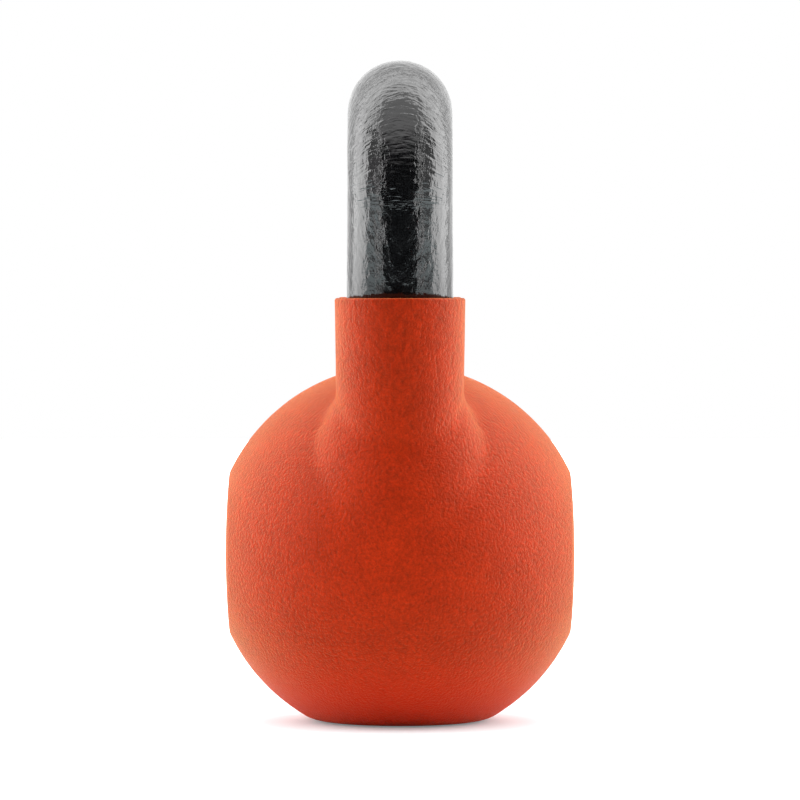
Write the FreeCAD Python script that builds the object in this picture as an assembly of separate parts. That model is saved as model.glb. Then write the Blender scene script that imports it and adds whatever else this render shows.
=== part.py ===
import FreeCAD, Part
import math
import os
from FreeCAD import Vector

# A coated cast-iron kettlebell. Millimetres, +Z up, the flat base on z = 0 with its centre at
# the origin. The handle's bar runs along X, and the two shallow domed faces look along +Y and -Y.
#
#   iron_casting     one pour: ball, two leaning horns and the bar between them
#   handle_enamel    thin baked enamel over the bare part of the handle
#   neoprene_jacket  thick coat over the ball and up both horns to two level-cut collars,
#                    with the weight in kilograms sunk into each domed face

os.makedirs("parts", exist_ok=True)

# Driving dimensions
ball_radius = 61.7         # over the coat
base_cut = 6.8             # what the flat base takes off the ball
base_round = 15.0          # rounding between the base and the ball, over the coat
face_cut = 4.6             # what each domed face takes off the ball
face_dome_radius = 268.0
face_round = 3.0           # rounding round each domed face
coat = 3.5                 # thickness of the jacket over the ball
grip_diameter = 33.6       # of the bar, over the enamel
horn_diameter = 34.2       # of a horn where it enters its collar, over the enamel
enamel = 0.25              # thickness of the enamel
handle_width = 148.0       # across both horns at their widest
window_height = 64.2       # from the top of the ball to the underside of the bar
corner_radius = 3.0        # inside corners of the window under the bar
horn_root_spacing = 54.6   # between the horns' centrelines at the height of the ball's centre
collar_rise = 21.8         # collar rim above the top of the ball
collar_wall = 4.0          # thickness of the coat at the collar's rim
collar_taper = 0.67        # degrees by which the collar narrows downwards on each side
rim_round = 0.8            # outer edge of the collar rim
enamel_lap = 6.0           # how far the enamel runs down inside the collar
neck_fillet = 10.0         # the coat's hollow between horn and ball
numeral_height = 27.0      # weight numeral on each domed face
numeral_stroke = 4.6
numeral_upper_share = 0.47  # upper loop's share of the two loops' widths
numeral_depth = 0.8

# Worked out from them
grip_radius = grip_diameter / 2
bend_radius = grip_radius + corner_radius  # of the handle's centreline
collar_rim_radius = horn_diameter / 2 - enamel + collar_wall
centre_height = ball_radius - base_cut
ball_top = centre_height + ball_radius
rim_height = ball_top + collar_rise
bar_height = ball_top + window_height + grip_radius
bend_x = handle_width / 2 - grip_radius - bend_radius
bend_z = bar_height - bend_radius
clear_of_all = 4 * (bar_height + handle_width)  # size of a block that takes in the whole part
near = 0.01                # how close counts as touching

ball_centre = Vector(0, 0, centre_height)
SIDEWAYS = Vector(0, 1, 0)


def find_horn():
    """Return the horn's root and top and its lean: the line from the root that touches the bend."""
    root = Vector(horn_root_spacing / 2, 0, centre_height)
    to_bend = Vector(bend_x, 0, bend_z) - root
    aim = math.atan2(to_bend.x, to_bend.z)
    lean = aim + math.asin(bend_radius / to_bend.Length)
    straight = math.sqrt(to_bend.Length ** 2 - bend_radius ** 2)
    top = root + Vector(math.sin(lean), 0, math.cos(lean)) * straight
    return root, top, lean


horn_root, horn_top, horn_lean = find_horn()
along_horn = Vector(math.sin(horn_lean), 0, math.cos(horn_lean))


def slab(low, high):
    """Block between two heights that is wider than the part."""
    corner = Vector(-clear_of_all / 2, -clear_of_all / 2, low)
    return Part.makeBox(clear_of_all, clear_of_all, high - low, corner)


def both_horns(shape):
    """The shape and its mirror image on the other side of the handle's middle."""
    return shape.fuse(shape.mirror(Vector(0, 0, 0), Vector(1, 0, 0)))


def disc(radius, centre, facing):
    """Flat round face."""
    return Part.Face(Part.Wire(Part.makeCircle(radius, centre, facing)))


def handle_rod(inset):
    """Rod along the whole handle, moved in by inset: round bar and bends, and two horns that
    thicken evenly on their way down."""
    radius = grip_radius - inset
    bar_end = Vector(bend_x, 0, bar_height)
    bend_turn = 90 + math.degrees(horn_lean)
    length = (horn_top - horn_root).Length
    thickening = (horn_diameter / 2 - grip_radius) / (horn_top.z - rim_height) * along_horn.z
    horn = Part.makeCone(radius + thickening * length, radius, length, horn_root, along_horn)
    bend = disc(radius, horn_top, along_horn).revolve(Vector(bend_x, 0, bend_z), -SIDEWAYS, bend_turn)
    half_bar = disc(radius, bar_end, Vector(-1, 0, 0)).extrude(Vector(-bend_x, 0, 0))
    return both_horns(horn.fuse([bend, half_bar])).removeSplitter()


def ball_outline(inset):
    """Closed outline of the ball in the plane x = 0: round stretches and the two domed faces.

    Each rounding's centre lies face_round inside both the ball's circle and the dome's circle.
    """
    round_radius = ball_radius - inset
    dome_radius = face_dome_radius - inset
    dome_centre = ball_radius - face_cut - face_dome_radius
    from_ball = round_radius - face_round
    from_dome = dome_radius - face_round
    out = (from_ball ** 2 - from_dome ** 2 + dome_centre ** 2) / (2 * dome_centre)
    up = math.sqrt(from_ball ** 2 - out ** 2)
    ball_angle = math.atan2(up, out)
    dome_angle = math.atan2(up, out - dome_centre)
    between = (ball_angle + dome_angle) / 2

    def place(side, middle, radius, angle):
        reach = middle + radius * math.cos(angle)
        return ball_centre + Vector(0, side * reach, radius * math.sin(angle))

    def rounding_middle(side):
        rise = up + face_round * math.sin(between)
        return ball_centre + Vector(0, side * (out + face_round * math.cos(between)), rise)

    edges = [Part.LineSegment(place(-1, dome_centre, dome_radius, 0),
                              place(1, dome_centre, dome_radius, 0)).toShape()]
    for side in (1, -1):
        crown = place(side, dome_centre, dome_radius, 0)
        dome_middle = place(side, dome_centre, dome_radius, dome_angle / 2)
        dome_end = place(side, dome_centre, dome_radius, dome_angle)
        round_start = place(side, 0, round_radius, ball_angle)
        edges.append(Part.Arc(crown, dome_middle, dome_end).toShape())
        edges.append(Part.Arc(dome_end, rounding_middle(side), round_start).toShape())
    top = ball_centre + Vector(0, 0, round_radius)
    edges.append(Part.Arc(place(1, 0, round_radius, ball_angle), top,
                          place(-1, 0, round_radius, ball_angle)).toShape())
    return Part.Wire(Part.__sortEdges__(edges))


def ball(inset):
    """Ball with its two domed faces and its rounded flat base, all moved in by inset."""
    outline = ball_outline(inset)
    whole = Part.Face(outline).revolve(ball_centre, SIDEWAYS, 360)
    standing = whole.common(slab(inset, clear_of_all))
    on_base = [edge for edge in standing.Edges if edge.BoundBox.ZMax < inset + near]
    return standing.makeFillet(base_round - inset, on_base)


def neck_creases(shape, radius):
    """Edges where the horns run into a ball of the given radius: on the ball, all on one side."""
    found = []
    for edge in shape.Edges:
        step = (edge.LastParameter - edge.FirstParameter) / 4
        points = [edge.valueAt(edge.FirstParameter + step * count) for count in range(4)]
        on_ball = all(abs((point - ball_centre).Length - radius) < near for point in points)
        one_side = all(point.x > near for point in points) or all(point.x < -near for point in points)
        if on_ball and one_side:
            found.append(edge)
    return found


def iron_casting():
    """Ball, horns and bar in one piece, with a wide hollow where each horn leaves the ball."""
    joined = ball(coat).fuse(handle_rod(enamel)).removeSplitter()
    return joined.makeFillet(neck_fillet + coat, neck_creases(joined, ball_radius - coat))


def handle_enamel():
    """Thin skin round the handle, from inside one collar to inside the other."""
    skin = handle_rod(0).cut(handle_rod(enamel))
    return skin.common(slab(rim_height - enamel_lap, clear_of_all))


def collar():
    """One tapered sleeve along a horn, running on past the height of its rim."""
    to_rim = (rim_height - centre_height) / along_horn.z
    length = to_rim + collar_rim_radius
    widening = math.tan(math.radians(collar_taper))
    root_radius = collar_rim_radius - to_rim * widening
    end_radius = collar_rim_radius + (length - to_rim) * widening
    return Part.makeCone(root_radius, end_radius, length, horn_root, along_horn)


def coated_shape():
    """Everything inside the outside of the coat, up to the two collar rims."""
    joined = ball(0).fuse(both_horns(collar()))
    necked = joined.makeFillet(neck_fillet, neck_creases(joined, ball_radius))
    trimmed = necked.common(slab(0, rim_height))
    rims = [edge for edge in trimmed.Edges if edge.BoundBox.ZMin > rim_height - near]
    return trimmed.makeFillet(rim_round, rims)


def numeral():
    """The figure 8 sunk into the face that looks along -Y: two rings, one on the other."""
    widths = (numeral_height + numeral_stroke) / 2
    upper = widths * numeral_upper_share
    lower = widths - upper
    foot = centre_height - numeral_height / 2
    figure = []
    for radius, height in ((lower, foot + lower), (upper, foot + numeral_height - upper)):
        near_side = Vector(0, -ball_radius, height)
        disc_out = Part.makeCylinder(radius, ball_radius, near_side, SIDEWAYS)
        disc_in = Part.makeCylinder(radius - numeral_stroke, ball_radius, near_side, SIDEWAYS)
        figure.append(disc_out.cut(disc_in))
    return figure[0].fuse(figure[1]).cut(ball(numeral_depth))


def neoprene_jacket():
    """Coat over the ball and horns: the coated shape less the iron and the enamel inside it."""
    shape = coated_shape().cut([iron_casting(), handle_enamel()])
    mark = numeral()
    turned = mark.copy()
    turned.rotate(Vector(0, 0, 0), Vector(0, 0, 1), 180)
    return shape.cut([mark, turned])


if __name__ == "__main__":
    for make in (iron_casting, handle_enamel, neoprene_jacket):
        make().exportStep("parts/" + make.__name__ + ".step")
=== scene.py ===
import math

import bpy
import numpy as np
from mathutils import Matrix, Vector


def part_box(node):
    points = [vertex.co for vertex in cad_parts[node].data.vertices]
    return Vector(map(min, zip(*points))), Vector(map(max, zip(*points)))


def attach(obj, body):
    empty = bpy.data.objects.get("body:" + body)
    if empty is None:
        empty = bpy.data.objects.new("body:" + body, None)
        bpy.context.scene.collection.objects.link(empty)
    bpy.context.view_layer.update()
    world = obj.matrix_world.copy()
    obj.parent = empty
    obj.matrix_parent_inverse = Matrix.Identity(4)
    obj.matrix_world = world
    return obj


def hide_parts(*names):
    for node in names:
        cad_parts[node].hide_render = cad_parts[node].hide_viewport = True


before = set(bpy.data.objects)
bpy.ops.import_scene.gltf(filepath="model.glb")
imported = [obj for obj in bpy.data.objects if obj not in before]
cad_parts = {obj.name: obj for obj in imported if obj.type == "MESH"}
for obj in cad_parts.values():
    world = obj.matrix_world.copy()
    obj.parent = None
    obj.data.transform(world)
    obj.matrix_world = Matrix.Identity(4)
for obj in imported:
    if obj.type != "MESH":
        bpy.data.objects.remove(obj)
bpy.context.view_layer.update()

# A coated cast-iron kettlebell in metres: X along the handle's bar, the two domed faces look along
# +Y and -Y, and the flat base lies on z = 0.

# Sizes read from the frame
jacket_low, jacket_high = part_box("neoprene_jacket")
enamel_low, enamel_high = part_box("handle_enamel")
casting_low, casting_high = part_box("iron_casting")
face_reach = jacket_high[1]                # the crown of a domed face, from the middle
rim_height = jacket_high[2]
handle_half_width = enamel_high[0]
handle_top = enamel_high[2]
enamel_end = enamel_low[2]                 # the enamel runs down inside the collars to here

# Sizes that the frame's boxes don't give
ball_radius = 0.0617
base_cut = 0.0068                          # what the flat base takes off the ball
base_round = 0.015
face_dome_radius = 0.268
face_round = 0.003
bar_radius = 0.0168
horn_radius = 0.0171                       # where a horn enters its collar
corner_radius = 0.003                      # inside corners of the window under the bar
horn_root_spacing = 0.0546
collar_wall = 0.004
collar_taper = math.radians(0.67)
rim_round = 0.0008
enamel = 0.00025
numeral_height = 0.027
numeral_stroke = 0.0046
numeral_upper_share = 0.47
numeral_depth = 0.0008

# Worked out from them
centre_height = ball_radius - base_cut
ball_top = centre_height + ball_radius
bend_radius = bar_radius + corner_radius
bar_height = handle_top - bar_radius
bend_x = handle_half_width - bar_radius - bend_radius
bend_z = bar_height - bend_radius
collar_rim_radius = horn_radius - enamel + collar_wall


def find_horn():
    """Return the horn's top and its lean: the line from the root that touches the bend's circle."""
    across = bend_x - horn_root_spacing / 2
    up = bend_z - centre_height
    away = math.hypot(across, up)
    lean = math.atan2(across, up) + math.asin(bend_radius / away)
    straight = math.sqrt(away ** 2 - bend_radius ** 2)
    return straight, lean


horn_length, horn_lean = find_horn()
ball_centre = np.array([0.0, 0.0, centre_height])
horn_root = np.array([horn_root_spacing / 2, 0.0, centre_height])
along_horn = np.array([math.sin(horn_lean), 0.0, math.cos(horn_lean)])
out_of_horn = np.array([math.cos(horn_lean), 0.0, -math.sin(horn_lean)])
rim_along = (rim_height - centre_height) / along_horn[2]
lean_per_height = math.tan(horn_lean)


# ---- shape helpers ----

def smooth_step(low, high, value):
    """0 under low, 1 over high, and a smooth climb between."""
    share = np.clip((value - low) / (high - low), 0.0, 1.0)
    return share * share * (3.0 - 2.0 * share)


def lattice_noise(points, size, seed):
    """Smooth unevenness from -1 to 1 with lumps of the given size: random values on a cubic lattice,
    blended between the eight nearest by a curve that is flat at both ends."""
    side = 32
    values = np.random.default_rng(seed).uniform(-1.0, 1.0, (side, side, side))
    place = points / size
    cell = np.floor(place).astype(int)
    share = place - cell
    share = share ** 3 * (share * (share * 6.0 - 15.0) + 10.0)
    total = np.zeros(points.shape[:-1])
    for corner in range(8):
        step = np.array([corner & 1, corner >> 1 & 1, corner >> 2 & 1])
        weight = np.prod(np.where(step == 1, share, 1.0 - share), axis=-1)
        index = (cell + step) % side
        total += weight * values[index[..., 0], index[..., 1], index[..., 2]]
    return total


def round_union(a, b, hollow):
    """Distance to either of two shapes, with a rounded hollow where they meet."""
    u = np.maximum(hollow - a, 0.0)
    v = np.maximum(hollow - b, 0.0)
    return np.maximum(hollow, np.minimum(a, b)) - np.hypot(u, v)


def round_common(a, b, edge):
    """Distance to what two shapes share, with a rounded edge where they meet."""
    u = np.maximum(edge + a, 0.0)
    v = np.maximum(edge + b, 0.0)
    return np.minimum(-edge, np.maximum(a, b)) + np.hypot(u, v)


def grid_mesh(name, rings, cap_start, cap_end):
    """Mesh of closed rings, given as an array (ring, point, 3) and running so that the first ring's
    turn is clockwise seen from the last: quads between neighbours, and a fan over each end."""
    ring_count, point_count, _ = rings.shape
    grid = np.arange(ring_count * point_count).reshape(ring_count, point_count)
    right = np.roll(grid, -1, axis=1)
    quads = np.stack([grid[:-1], right[:-1], right[1:], grid[1:]], axis=-1).reshape(-1, 4)
    first, last = ring_count * point_count, ring_count * point_count + 1
    start_fan = np.stack([right[0], grid[0], np.full(point_count, first)], axis=-1)
    end_fan = np.stack([grid[-1], right[-1], np.full(point_count, last)], axis=-1)
    points = np.concatenate([rings.reshape(-1, 3), [cap_start, cap_end]])
    mesh = bpy.data.meshes.new(name)
    mesh.from_pydata(points.tolist(), [], quads.tolist() + start_fan.tolist() + end_fan.tolist())
    mesh.polygons.foreach_set("use_smooth", np.ones(len(mesh.polygons), dtype=bool))
    mesh.update()
    piece = bpy.data.objects.new(name, mesh)
    bpy.context.scene.collection.objects.link(piece)
    return piece


# ---- the coat ----

def corner_hollow(radius, turn):
    """Depth that round_union or round_common needs for a fillet of that radius at that turn."""
    return radius * (1.0 - math.cos(turn))


base_turn = math.acos(centre_height / ball_radius)
face_edge_radius = math.sqrt(ball_radius ** 2 - (face_reach - 0.0012) ** 2)
face_turn = math.asin(face_edge_radius / ball_radius) - math.asin(face_edge_radius / face_dome_radius)
neck_side_hollow = 0.0045
neck_front_hollow = 0.0042
neck_inner_hollow = 0.006
neck_side_flare = 0.0010
neck_front_flare = 0.0020
foot_height = 0.0042                       # the foot of each neck stands this proud of the ball
foot_side = 0.0022                         # and ends this far from the neck
foot_front = 0.0066
foot_edge_width = 0.0075


def numeral_mask(points):
    """1 inside the strokes of the figure 8 on a domed face and 0 outside: two rings, one on the
    other, with strokes whose edges slope over half a millimetre each way."""
    widths = (numeral_height + numeral_stroke) / 2
    upper = widths * numeral_upper_share
    lower = widths - upper
    foot = centre_height - numeral_height / 2
    x, z = points[..., 0], points[..., 2]
    off_lower = np.abs(np.hypot(x, z - foot - lower) - lower + numeral_stroke / 2)
    off_upper = np.abs(np.hypot(x, z - foot - numeral_height + upper) - upper + numeral_stroke / 2)
    off_stroke = np.minimum(off_lower, off_upper) - numeral_stroke / 2
    return smooth_step(0.0005, -0.0005, off_stroke) * (np.abs(points[..., 1]) > face_reach * 0.8)


def coat_field(points):
    """Distance from the coat's outside, negative inside: the ball, less its domed faces and base,
    joined to two tapered horns that flare towards their feet, most at the front, by a soft hollow."""
    x, y, z = np.abs(points[..., 0]), np.abs(points[..., 1]), points[..., 2]
    sphere = np.sqrt(x * x + y * y + (z - centre_height) ** 2) - ball_radius
    dome_y = y - (face_reach - face_dome_radius)
    dome = np.sqrt(x * x + dome_y * dome_y + (z - centre_height) ** 2) - face_dome_radius
    body = round_common(sphere, dome, corner_hollow(face_round, face_turn))
    body = round_common(body, -z, corner_hollow(base_round, base_turn))

    folded = np.stack([x, y, z], axis=-1) - horn_root
    along = folded @ along_horn
    outward = folded @ out_of_horn
    from_axis = np.maximum(np.hypot(outward, y), 1e-6)
    facing = outward / from_axis
    flare = (neck_side_flare + (neck_front_flare - neck_side_flare) * np.maximum(facing, 0.0))
    flare = flare * smooth_step(0.060, 0.018, along) * smooth_step(-0.9, 0.1, facing)
    radius = collar_rim_radius - (rim_along - along) * math.tan(collar_taper) + flare
    horn = (np.hypot(from_axis, np.minimum(along, 0.0)) - radius) * math.cos(collar_taper)
    hollow = (neck_side_hollow
              + (neck_front_hollow - neck_side_hollow) * np.maximum(facing, 0.0) ** 2
              + (neck_inner_hollow - neck_side_hollow) * np.maximum(-facing, 0.0) ** 2)
    foot_reach = foot_side + (foot_front - foot_side) * np.sqrt(np.maximum(facing, 0.0))
    foot = foot_height * smooth_step(foot_edge_width / 2, -foot_edge_width / 2, horn - foot_reach)
    foot = foot * smooth_step(-0.5, 0.1, facing)
    joined = round_union(body - foot, horn, hollow)

    # the coat was dipped: it is never quite even, and a little thin here and there
    uneven = 0.6 * lattice_noise(points, 0.019, 11) + 0.4 * lattice_noise(points, 0.007, 12)
    thin = 0.00006 * (1.0 + uneven)
    fade = smooth_step(0.0, 0.004, z)
    return joined + thin * fade + numeral_depth * numeral_mask(points)


def ring_points(centres, outwards, directions, limits):
    """Points of the coat on rays from each ring's centre, found by halving the reach 40 times."""
    turn_out = np.cos(directions)[None, :, None] * outwards[:, None, :]
    turn_side = np.sin(directions)[None, :, None] * np.array([0.0, 1.0, 0.0])
    rays = turn_out + turn_side
    low = np.zeros(limits.shape)
    high = limits.copy()
    for _ in range(40):
        middle = (low + high) / 2
        inside = coat_field(centres[:, None, :] + middle[..., None] * rays) < 0
        low = np.where(inside, middle, low)
        high = np.where(inside, high, middle)
    return centres[:, None, :] + ((low + high) / 2)[..., None] * rays


def ring_directions():
    """Angles round a ring, with the fine steps on the two domed faces."""
    face_half = math.asin(face_edge_radius / ball_radius) + math.radians(2)
    face = np.linspace(-face_half, face_half, 84)
    gap = math.pi / 2 - face_half
    coarse = np.linspace(-gap, gap, 84)[1:-1]
    quarter = [coarse, face + math.pi / 2, coarse + math.pi, face + 3 * math.pi / 2]
    return np.concatenate(quarter)


def horn_axis_at(height):
    """Point of the horn's centreline at each height."""
    height = np.asarray(height, dtype=float)
    across = horn_root[0] + (height - centre_height) * lean_per_height
    return np.stack([across, np.zeros_like(height), height], axis=-1)


def make_jacket():
    """Coat from one collar to the other as closed rings: half-planes that turn about a line above
    the ball, from straight down to level, then level cuts up the collar, its rounded rim, and the
    flat top in to the handle. The far side is the near side's mirror image with its own unevenness."""
    directions = ring_directions()
    pivot = np.array([0.0, 0.0, ball_top + 0.0034])
    turns = np.radians(np.concatenate([np.linspace(0.0, 22.0, 37), np.linspace(22.0, 90.0, 78)[1:]]))
    planes = np.stack([np.sin(turns), np.zeros_like(turns), -np.cos(turns)], axis=-1)
    to_ball = (pivot[2] - centre_height) * np.cos(turns)
    to_horn = ((horn_root[0] + (pivot[2] - centre_height) * lean_per_height)
               / (np.sin(turns) + lean_per_height * np.cos(turns)))
    share = smooth_step(math.radians(35), math.radians(60), turns)
    out = to_ball + (to_horn - to_ball) * share
    fan_centres = pivot + planes * out[:, None]

    heights = np.linspace(pivot[2], rim_height - rim_round, 16)[1:]
    centres = np.concatenate([fan_centres, horn_axis_at(heights)])
    outwards = np.concatenate([planes, np.tile([1.0, 0.0, 0.0], (len(heights), 1))])
    out = np.concatenate([out, np.full(len(heights), horn_root[0] + 0.01)])
    backwards = np.maximum(-np.cos(directions), 1e-6)
    limits = np.minimum(0.09, out[:, None] / backwards[None, :])

    halves = []
    for side in (1.0, -1.0):
        mirror = np.array([side, 1.0, 1.0])
        near_side = ring_points(centres * mirror, outwards * mirror, directions, limits)
        halves.append(np.concatenate([near_side, rim_rings(near_side[-1], mirror)]))
    rings = np.concatenate([halves[1][::-1], halves[0][1:]])
    bottom_out = [horn_axis_at(rim_height - 0.005) * np.array([side, 1.0, 1.0]) for side in (-1.0, 1.0)]
    return grid_mesh("dipped_coat", rings, bottom_out[0], bottom_out[1])


def rim_rings(wall, mirror):
    """Rings from the top of the collar's wall over its rounded edge, across the flat top to just
    inside the handle's surface and down beside it."""
    centre = horn_axis_at(rim_height) * mirror
    spoke = wall - centre
    spoke[:, 2] = 0.0
    reach = np.linalg.norm(spoke, axis=1)
    spoke = spoke / reach[:, None]
    rings = []
    for angle in np.radians([15, 30, 45, 60, 75, 90]):
        ring = centre + spoke * (reach - rim_round * (1 - math.cos(angle)))[:, None]
        ring[:, 2] = rim_height - rim_round + rim_round * math.sin(angle)
        rings.append(ring)
    across = math.cos(horn_lean)
    handle_edge = (horn_radius - enamel) / np.hypot(spoke[:, 0] * across, spoke[:, 1])
    for share in (0.35, 0.7, 1.0):
        out = (reach - rim_round) + (handle_edge - reach + rim_round) * share
        ring = centre + spoke * out[:, None]
        rings.append(ring)
    sunk = horn_axis_at(rim_height - 0.005) * mirror + spoke * handle_edge[:, None]
    rings.append(sunk)
    return np.array(rings)


# ---- the handle ----

def make_handle():
    """Enamelled handle as rings along its centreline: horn, bend, bar, bend and horn. The surface
    sinks below the CAD size by the unevenness of the rough casting under a thick enamel."""
    ring_count = 400
    point_count = 236
    start = (enamel_end - centre_height) / along_horn[2]
    straight = horn_length - start
    turn = math.pi / 2 + horn_lean
    bend = bend_radius * turn
    total = 2 * (straight + bend + bend_x)
    travel = np.linspace(0.0, total, ring_count)
    from_end = np.minimum(travel, total - travel)
    side = np.where(travel < total / 2, 1.0, -1.0)

    on_horn = from_end < straight
    angle = np.clip((from_end - straight) / bend_radius, 0.0, turn) - horn_lean
    past_bend = np.maximum(from_end - straight - bend, 0.0)
    horn_place = horn_root + along_horn * (start + from_end)[:, None]
    bend_place = np.stack([bend_x + bend_radius * np.cos(angle) - past_bend, np.zeros(ring_count),
                           bend_z + bend_radius * np.sin(angle)], axis=-1)
    centres = np.where(on_horn[:, None], horn_place, bend_place)
    outward = np.stack([np.cos(angle), np.zeros(ring_count), np.sin(angle)], axis=-1)
    mirror = np.stack([side, np.ones(ring_count), np.ones(ring_count)], axis=-1)
    centres = centres * mirror
    outward = outward * mirror

    thickening = (horn_radius - bar_radius) / (rim_along - horn_length)
    radius = bar_radius + thickening * np.minimum(start + from_end - horn_length, 0.0)
    around = np.arange(point_count) / point_count * 2 * math.pi
    sideways = np.array([0.0, 1.0, 0.0])
    spokes = (np.cos(around)[None, :, None] * outward[:, None, :]
              + np.sin(around)[None, :, None] * sideways)
    surface = centres[:, None, :] + spokes * radius[:, None, None]
    bent = (smooth_step(-0.006, 0.004, from_end - straight)
            * smooth_step(0.006, -0.004, from_end - straight - bend))
    sink = handle_unevenness(surface, travel, bent)
    rings = surface - spokes * sink[..., None]
    piece = grid_mesh("enamelled_handle", rings, centres[0], centres[-1])

    # where each point lies along the handle and round it, for the enamel's runs
    arch = 0.008 * side * smooth_step(total / 2, total / 2 - 0.03, from_end)
    along = (travel[:, None] - arch[:, None] * np.cos(around)[None, :]).ravel()
    flow = np.stack([along, np.repeat(bent, point_count), np.zeros_like(along)], axis=-1)
    ends = [[0.0, 0.0, 0.0], [total, 0.0, 0.0]]
    attribute = piece.data.attributes.new("along_handle", "FLOAT_VECTOR", "POINT")
    attribute.data.foreach_set("vector", np.concatenate([flow, ends]).ravel())
    return piece


def handle_unevenness(surface, travel, bent):
    """How far each point lies below the CAD size, up to the enamel's thickness: lumps of the sand
    mould at 7, 3 and 1.6 mm, and fine ripples across the handle, strongest round its bends."""
    lumps = (0.50 * lattice_noise(surface, 0.0070, 21)
             + 0.32 * lattice_noise(surface, 0.0031, 22)
             + 0.18 * lattice_noise(surface, 0.0016, 23))
    drift = 2.2 * lattice_noise(surface, 0.009, 24)
    patch = smooth_step(-0.3, 0.5, lattice_noise(surface, 0.012, 25))
    ripple = np.sin(2 * math.pi * travel[:, None] / 0.0017 + drift) * patch
    strength = (0.2 + 0.8 * bent)[:, None]
    total = 0.9 * lumps + 0.11 * ripple * strength
    return np.clip(0.5 + 0.5 * total, 0.0, 1.0) * enamel * 0.8


# ---- materials ----

def colour(hex_code):
    """sRGB hex to the linear red, green, blue and alpha that nodes take."""
    parts = [int(hex_code[i:i + 2], 16) / 255 for i in (0, 2, 4)]
    return [p / 12.92 if p <= 0.04045 else ((p + 0.055) / 1.055) ** 2.4 for p in parts] + [1.0]


def add(tree, kind, inputs, **settings):
    """Add a node: settings are its properties, and each input gets a value or another node's output."""
    node = tree.nodes.new(kind)
    for name, value in settings.items():
        setattr(node, name, value)
    for name, value in inputs.items():
        if isinstance(value, bpy.types.NodeSocket):
            tree.links.new(value, node.inputs[name])
        else:
            node.inputs[name].default_value = value
    return node


def new_material(name):
    """Empty node material and its tree."""
    material = bpy.data.materials.new(name)
    material.use_nodes = True
    material.node_tree.nodes.clear()
    return material, material.node_tree


def paint(piece, material):
    """Put the material in every slot of the piece."""
    if not piece.data.materials:
        piece.data.materials.append(material)
    for slot in piece.material_slots:
        slot.material = material


def noise(tree, place, size, detail=2.0, roughness=0.5):
    """Noise whose features are about size metres across."""
    return add(tree, "ShaderNodeTexNoise",
               {"Vector": place, "Scale": 1 / size, "Detail": detail, "Roughness": roughness})


def dipped_neoprene():
    """Neoprene rubber, dipped and cured: an orange-red matt skin that glows paler where it turns
    away. Its leathery grain is drawn out into short strokes down the flow, from the neck towards
    the base, and it is faintly mottled where the dip ran thicker."""
    material, tree = new_material("dipped_neoprene")
    place = add(tree, "ShaderNodeTexCoord", {}).outputs["Object"]
    parts = add(tree, "ShaderNodeSeparateXYZ", {"Vector": place})
    level = add(tree, "ShaderNodeVectorMath", {0: place, 1: (1, 1, 0)}, operation="MULTIPLY").outputs["Vector"]
    out = add(tree, "ShaderNodeVectorMath", {0: level}, operation="LENGTH").outputs["Value"]
    round_about = add(tree, "ShaderNodeVectorMath", {0: level}, operation="NORMALIZE").outputs["Vector"]
    over_centre = math_node(tree, "SUBTRACT", parts.outputs["Z"], centre_height)
    rise = math_node(tree, "MULTIPLY", math_node(tree, "ARCTAN2", over_centre, out), 0.045)
    rise = math_node(tree, "ADD", rise, math_node(tree, "MULTIPLY", parts.outputs["Z"], 0.4))
    down_flow = add(tree, "ShaderNodeCombineXYZ", {"Z": math_node(tree, "MULTIPLY", rise, 0.75)})
    flow = add(tree, "ShaderNodeVectorMath", {0: round_about, 1: (0.05, 0.05, 0), 2: down_flow.outputs["Vector"]},
               operation="MULTIPLY_ADD").outputs["Vector"]
    mottle = noise(tree, place, 0.011, 3.0)
    strokes = noise(tree, flow, 0.0009, 3.0, 0.6)
    grain = noise(tree, place, 0.0006, 2.0, 0.6)
    both = math_node(tree, "ADD", math_node(tree, "MULTIPLY", strokes.outputs["Fac"], 0.6),
                     math_node(tree, "MULTIPLY", grain.outputs["Fac"], 0.4))
    tones = add(tree, "ShaderNodeValToRGB", {"Fac": mottle.outputs["Fac"]})
    ramp = tones.color_ramp
    ramp.elements[0].position, ramp.elements[1].position = 0.3, 0.7
    ramp.elements[0].color, ramp.elements[1].color = colour("9E1E06"), colour("AA2308")
    speck = add(tree, "ShaderNodeMapRange", {"Value": both, "From Min": 0.35, "From Max": 0.65,
                                             "To Min": 0.65, "To Max": 1.35})
    shade = add(tree, "ShaderNodeVectorMath", {0: tones.outputs["Color"]}, operation="SCALE")
    tree.links.new(speck.outputs["Result"], shade.inputs["Scale"])
    # Painted light, not wear: over the lowest 30 mm the colour turns a lighter, purer red and the sheen weakens,
    # standing in for how light falls on the base.
    painted_foot_light = add(tree, "ShaderNodeMapRange", {"Value": parts.outputs["Z"], "From Min": 0.002,
                                              "From Max": 0.030, "To Min": 1.0, "To Max": 0.0},
                 interpolation_type="SMOOTHSTEP").outputs["Result"]
    velvet = math_node(tree, "SUBTRACT", 0.85, math_node(tree, "MULTIPLY", painted_foot_light, 0.70))
    painted_foot_colour = add(tree, "ShaderNodeMix", {"Factor": painted_foot_light, 6: shade.outputs["Vector"], 7: colour("CA2305")},
               data_type="RGBA")
    bump = add(tree, "ShaderNodeBump", {"Height": both, "Distance": 0.0007, "Strength": 1.0})
    skin = add(tree, "ShaderNodeBsdfPrincipled", {
        "Base Color": painted_foot_colour.outputs[2], "Roughness": 0.5, "IOR": 1.52,
        "Specular IOR Level": 0.25, "Specular Tint": colour("FFAA60"), "Sheen Weight": velvet,
        "Sheen Roughness": 0.42, "Sheen Tint": colour("FFA860"), "Normal": bump.outputs["Normal"]})
    add(tree, "ShaderNodeOutputMaterial", {"Surface": skin.outputs["BSDF"]})
    return material


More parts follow.
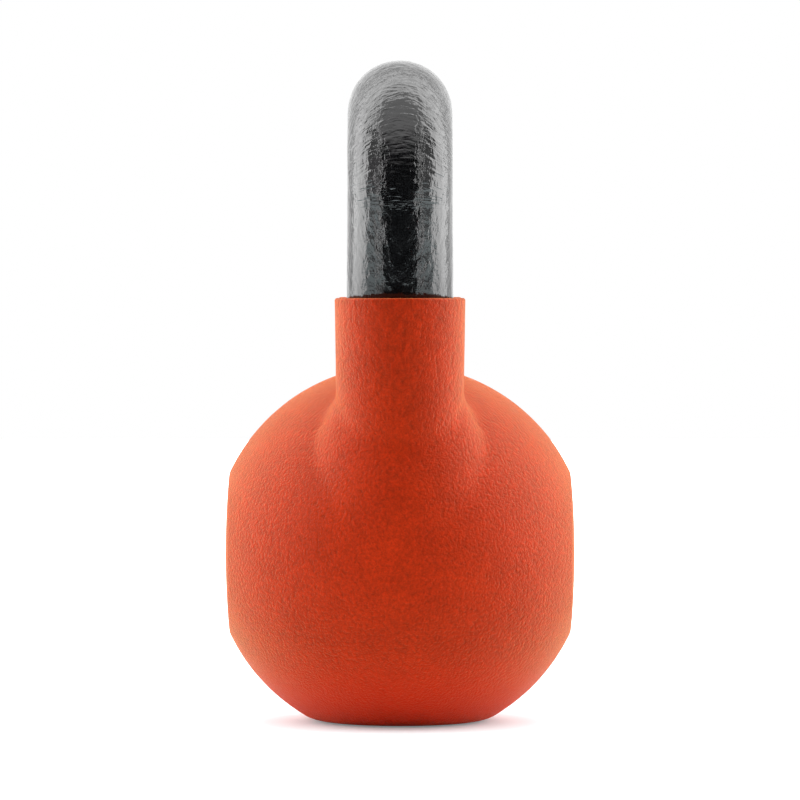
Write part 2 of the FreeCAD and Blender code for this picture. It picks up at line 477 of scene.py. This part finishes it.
def baked_enamel():
    """Black stoving enamel flowed over rough cast iron: deep black and glossy. Lumps of the sand
    mould waver in all it mirrors, and across each bend the enamel has drawn up in fine wrinkles."""
    material, tree = new_material("baked_enamel")
    place = add(tree, "ShaderNodeTexCoord", {}).outputs["Object"]
    flow = add(tree, "ShaderNodeAttribute", {}, attribute_name="along_handle")
    parts = add(tree, "ShaderNodeSeparateXYZ", {"Vector": flow.outputs["Vector"]})
    squeezed = add(tree, "ShaderNodeVectorMath", {0: place, 1: (0.16, 0.16, 0.16)}, operation="MULTIPLY").outputs["Vector"]
    lengthwise = add(tree, "ShaderNodeCombineXYZ", {"X": parts.outputs["X"]}).outputs["Vector"]
    across = add(tree, "ShaderNodeVectorMath", {0: squeezed, 1: lengthwise}, operation="ADD").outputs["Vector"]
    wrinkles = noise(tree, across, 0.00075, 1.5, 0.5)
    wrinkles.inputs["Distortion"].default_value = 0.4
    upright = add(tree, "ShaderNodeVectorMath", {0: place, 1: (1, 1, 0.5)}, operation="MULTIPLY").outputs["Vector"]
    lumps = noise(tree, upright, 0.0024, 3.0, 0.55)
    bent = add(tree, "ShaderNodeMapRange", {"Value": parts.outputs["Y"], "To Min": 0.06, "To Max": 1.0})
    folds = math_node(tree, "MULTIPLY", wrinkles.outputs["Fac"], bent.outputs["Result"])
    first = add(tree, "ShaderNodeBump", {"Height": lumps.outputs["Fac"], "Distance": 0.00034,
                                         "Strength": 1.0})
    bump = add(tree, "ShaderNodeBump", {"Height": folds, "Distance": 0.00034,
                                        "Strength": 1.0, "Normal": first.outputs["Normal"]})
    wear = noise(tree, place, 0.006, 4.0, 0.6)
    gloss = add(tree, "ShaderNodeMapRange", {"Value": wear.outputs["Fac"], "From Min": 0.3,
                                             "From Max": 0.7, "To Min": 0.10, "To Max": 0.18})
    tones = add(tree, "ShaderNodeValToRGB", {"Fac": wear.outputs["Fac"]})
    tones.color_ramp.elements[0].color = colour("0B0B0C")
    tones.color_ramp.elements[1].color = colour("151516")
    # Painted shade: the enamel's reflections are turned down over the 24 mm above each collar, standing in for the
    # dimmer light that the lower handle mirrors.
    high_up = add(tree, "ShaderNodeSeparateXYZ", {"Vector": place}).outputs["Z"]
    painted_shade_reflection_level = add(tree, "ShaderNodeMapRange", {"Value": high_up, "From Min": rim_height,
                                             "From Max": rim_height + 0.024, "To Min": 0.34,
                                             "To Max": 0.5}, interpolation_type="SMOOTHSTEP")
    skin = add(tree, "ShaderNodeBsdfPrincipled", {
        "Base Color": tones.outputs["Color"], "Roughness": gloss.outputs["Result"], "IOR": 1.68,
        "Specular IOR Level": painted_shade_reflection_level.outputs["Result"],
        "Normal": bump.outputs["Normal"]})
    add(tree, "ShaderNodeOutputMaterial", {"Surface": skin.outputs["BSDF"]})
    return material


def sand_cast_iron():
    """Grey iron poured in sand: dark, dull and granular. The coatings cover all of it."""
    material, tree = new_material("sand_cast_iron")
    place = add(tree, "ShaderNodeTexCoord", {}).outputs["Object"]
    sand = noise(tree, place, 0.0012, 4.0, 0.7)
    tones = add(tree, "ShaderNodeValToRGB", {"Fac": sand.outputs["Fac"]})
    tones.color_ramp.elements[0].color, tones.color_ramp.elements[1].color = colour("2B2A29"), colour("55524F")
    bump = add(tree, "ShaderNodeBump", {"Height": sand.outputs["Fac"], "Distance": 0.0002})
    skin = add(tree, "ShaderNodeBsdfPrincipled", {
        "Base Color": tones.outputs["Color"], "Metallic": 0.7, "Roughness": 0.7,
        "Normal": bump.outputs["Normal"]})
    add(tree, "ShaderNodeOutputMaterial", {"Surface": skin.outputs["BSDF"]})
    return material


# ---- the stage ----

def make_floor():
    """White table whose front edge stops just short of the camera's side."""
    mesh = bpy.data.meshes.new("white_table")
    front, back, side = 0.27, -3.0, 0.5
    under = -0.0002
    corners = [(back, -side, under), (front, -side, under), (front, side, under), (back, side, under)]
    mesh.from_pydata(corners, [], [(0, 1, 2, 3)])
    table = bpy.data.objects.new("white_table", mesh)
    bpy.context.scene.collection.objects.link(table)
    material, tree = new_material("white_paper")
    rays = add(tree, "ShaderNodeLightPath", {})
    paper = add(tree, "ShaderNodeBsdfDiffuse", {"Color": (0.76, 0.86, 0.88, 1.0)})
    place = add(tree, "ShaderNodeTexCoord", {}).outputs["Object"]
    away = add(tree, "ShaderNodeVectorMath", {0: place}, operation="LENGTH")
    far = add(tree, "ShaderNodeMapRange", {"Value": away.outputs["Value"], "From Min": 0.12,
                                           "From Max": 0.6, "To Min": 0.20, "To Max": 1.0})
    lift = add(tree, "ShaderNodeMath", {0: rays.outputs["Is Camera Ray"], 1: far.outputs["Result"]},
               operation="MULTIPLY")
    glow = add(tree, "ShaderNodeEmission", {"Color": (1, 1, 1, 1), "Strength": lift.outputs["Value"]})
    both = add(tree, "ShaderNodeAddShader", {0: paper.outputs["BSDF"], 1: glow.outputs["Emission"]})
    add(tree, "ShaderNodeOutputMaterial", {"Surface": both.outputs["Shader"]})
    paint(table, material)


def step_node(tree, value, low, high, top=1.0):
    """0 where the value is past low and top where it is past high, with a smooth climb between."""
    node = add(tree, "ShaderNodeMapRange", {"Value": value, "From Min": low, "From Max": high,
                                            "To Min": 0.0, "To Max": top}, interpolation_type="SMOOTHSTEP")
    return node.outputs["Result"]


def math_node(tree, operation, first, second=0.0):
    """Value of one sum on two values."""
    return add(tree, "ShaderNodeMath", {0: first, 1: second}, operation=operation).outputs["Value"]


def make_world():
    """Light tent: bright cloth on both sides and over the object, softer cloth towards the front
    and overhead, a lit backdrop behind, and the dark of the room on the camera's side. The camera
    itself sees white all round."""
    world = bpy.data.worlds.new("light_tent")
    bpy.context.scene.world = world
    world.use_nodes = True
    tree = world.node_tree
    tree.nodes.clear()
    rays = add(tree, "ShaderNodeLightPath", {})
    where = add(tree, "ShaderNodeTexCoord", {}).outputs["Generated"]
    parts = add(tree, "ShaderNodeSeparateXYZ", {"Vector": where})
    front, side, up = parts.outputs["X"], parts.outputs["Y"], parts.outputs["Z"]
    side = math_node(tree, "ABSOLUTE", side)
    side_squared = math_node(tree, "MULTIPLY", side, side)
    up_squared = math_node(tree, "MULTIPLY", up, up)
    level = math_node(tree, "DIVIDE", side_squared, math_node(tree, "ADD", side_squared, up_squared))
    past_edge = math_node(tree, "SUBTRACT", front, math_node(tree, "MULTIPLY", level, 0.20))
    cloth = add(tree, "ShaderNodeMapRange", {"Value": level, "To Min": 3.5, "To Max": 4.9}).outputs["Result"]
    bright = math_node(tree, "MULTIPLY", step_node(tree, past_edge, 0.05, -0.05),
                       step_node(tree, front, -0.62, -0.55))
    bright = math_node(tree, "MULTIPLY", bright, cloth)
    backdrop = step_node(tree, front, -0.60, -0.68, 1.5)
    soft_side = math_node(tree, "MULTIPLY", step_node(tree, side, 0.66, 0.72, 0.45),
                          step_node(tree, past_edge, -0.05, 0.05))
    overhead = math_node(tree, "MULTIPLY", step_node(tree, up, 0.2, 0.85, 1.4),
                         step_node(tree, past_edge, -0.05, 0.05))
    seam = math_node(tree, "MULTIPLY", step_node(tree, side, 0.655, 0.67, 5.0),
                     step_node(tree, side, 0.735, 0.70))
    seam = math_node(tree, "MULTIPLY", seam, step_node(tree, past_edge, -0.05, 0.05))
    tent = math_node(tree, "ADD", math_node(tree, "ADD", bright, backdrop),
                     math_node(tree, "MAXIMUM", math_node(tree, "MAXIMUM", soft_side, overhead), seam))
    seen = add(tree, "ShaderNodeMix", {"Factor": rays.outputs["Is Camera Ray"], "A": tent, "B": 1.0})
    light = add(tree, "ShaderNodeBackground", {"Color": (1, 1, 1, 1), "Strength": seen.outputs["Result"]})
    add(tree, "ShaderNodeOutputWorld", {"Surface": light.outputs["Background"]})


def make_camera():
    """Long lens a little over the collars' height, looking along the handle's bar."""
    lens = bpy.data.cameras.new("camera")
    lens.lens = 233.7
    lens.clip_start = 0.01
    camera = bpy.data.objects.new("camera", lens)
    camera.location = (1.7, 0.0, 0.1439)
    camera.rotation_euler = (math.radians(90 - 1.316), 0.0, math.radians(90))
    bpy.context.scene.collection.objects.link(camera)
    bpy.context.scene.camera = camera


jacket = make_jacket()
paint(jacket, dipped_neoprene())
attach(jacket, "root")
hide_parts("neoprene_jacket")

handle = make_handle()
paint(handle, baked_enamel())
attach(handle, "root")
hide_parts("handle_enamel")

paint(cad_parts["iron_casting"], sand_cast_iron())

make_floor()
make_world()
make_camera()
bpy.context.scene.view_settings.view_transform = "Standard"
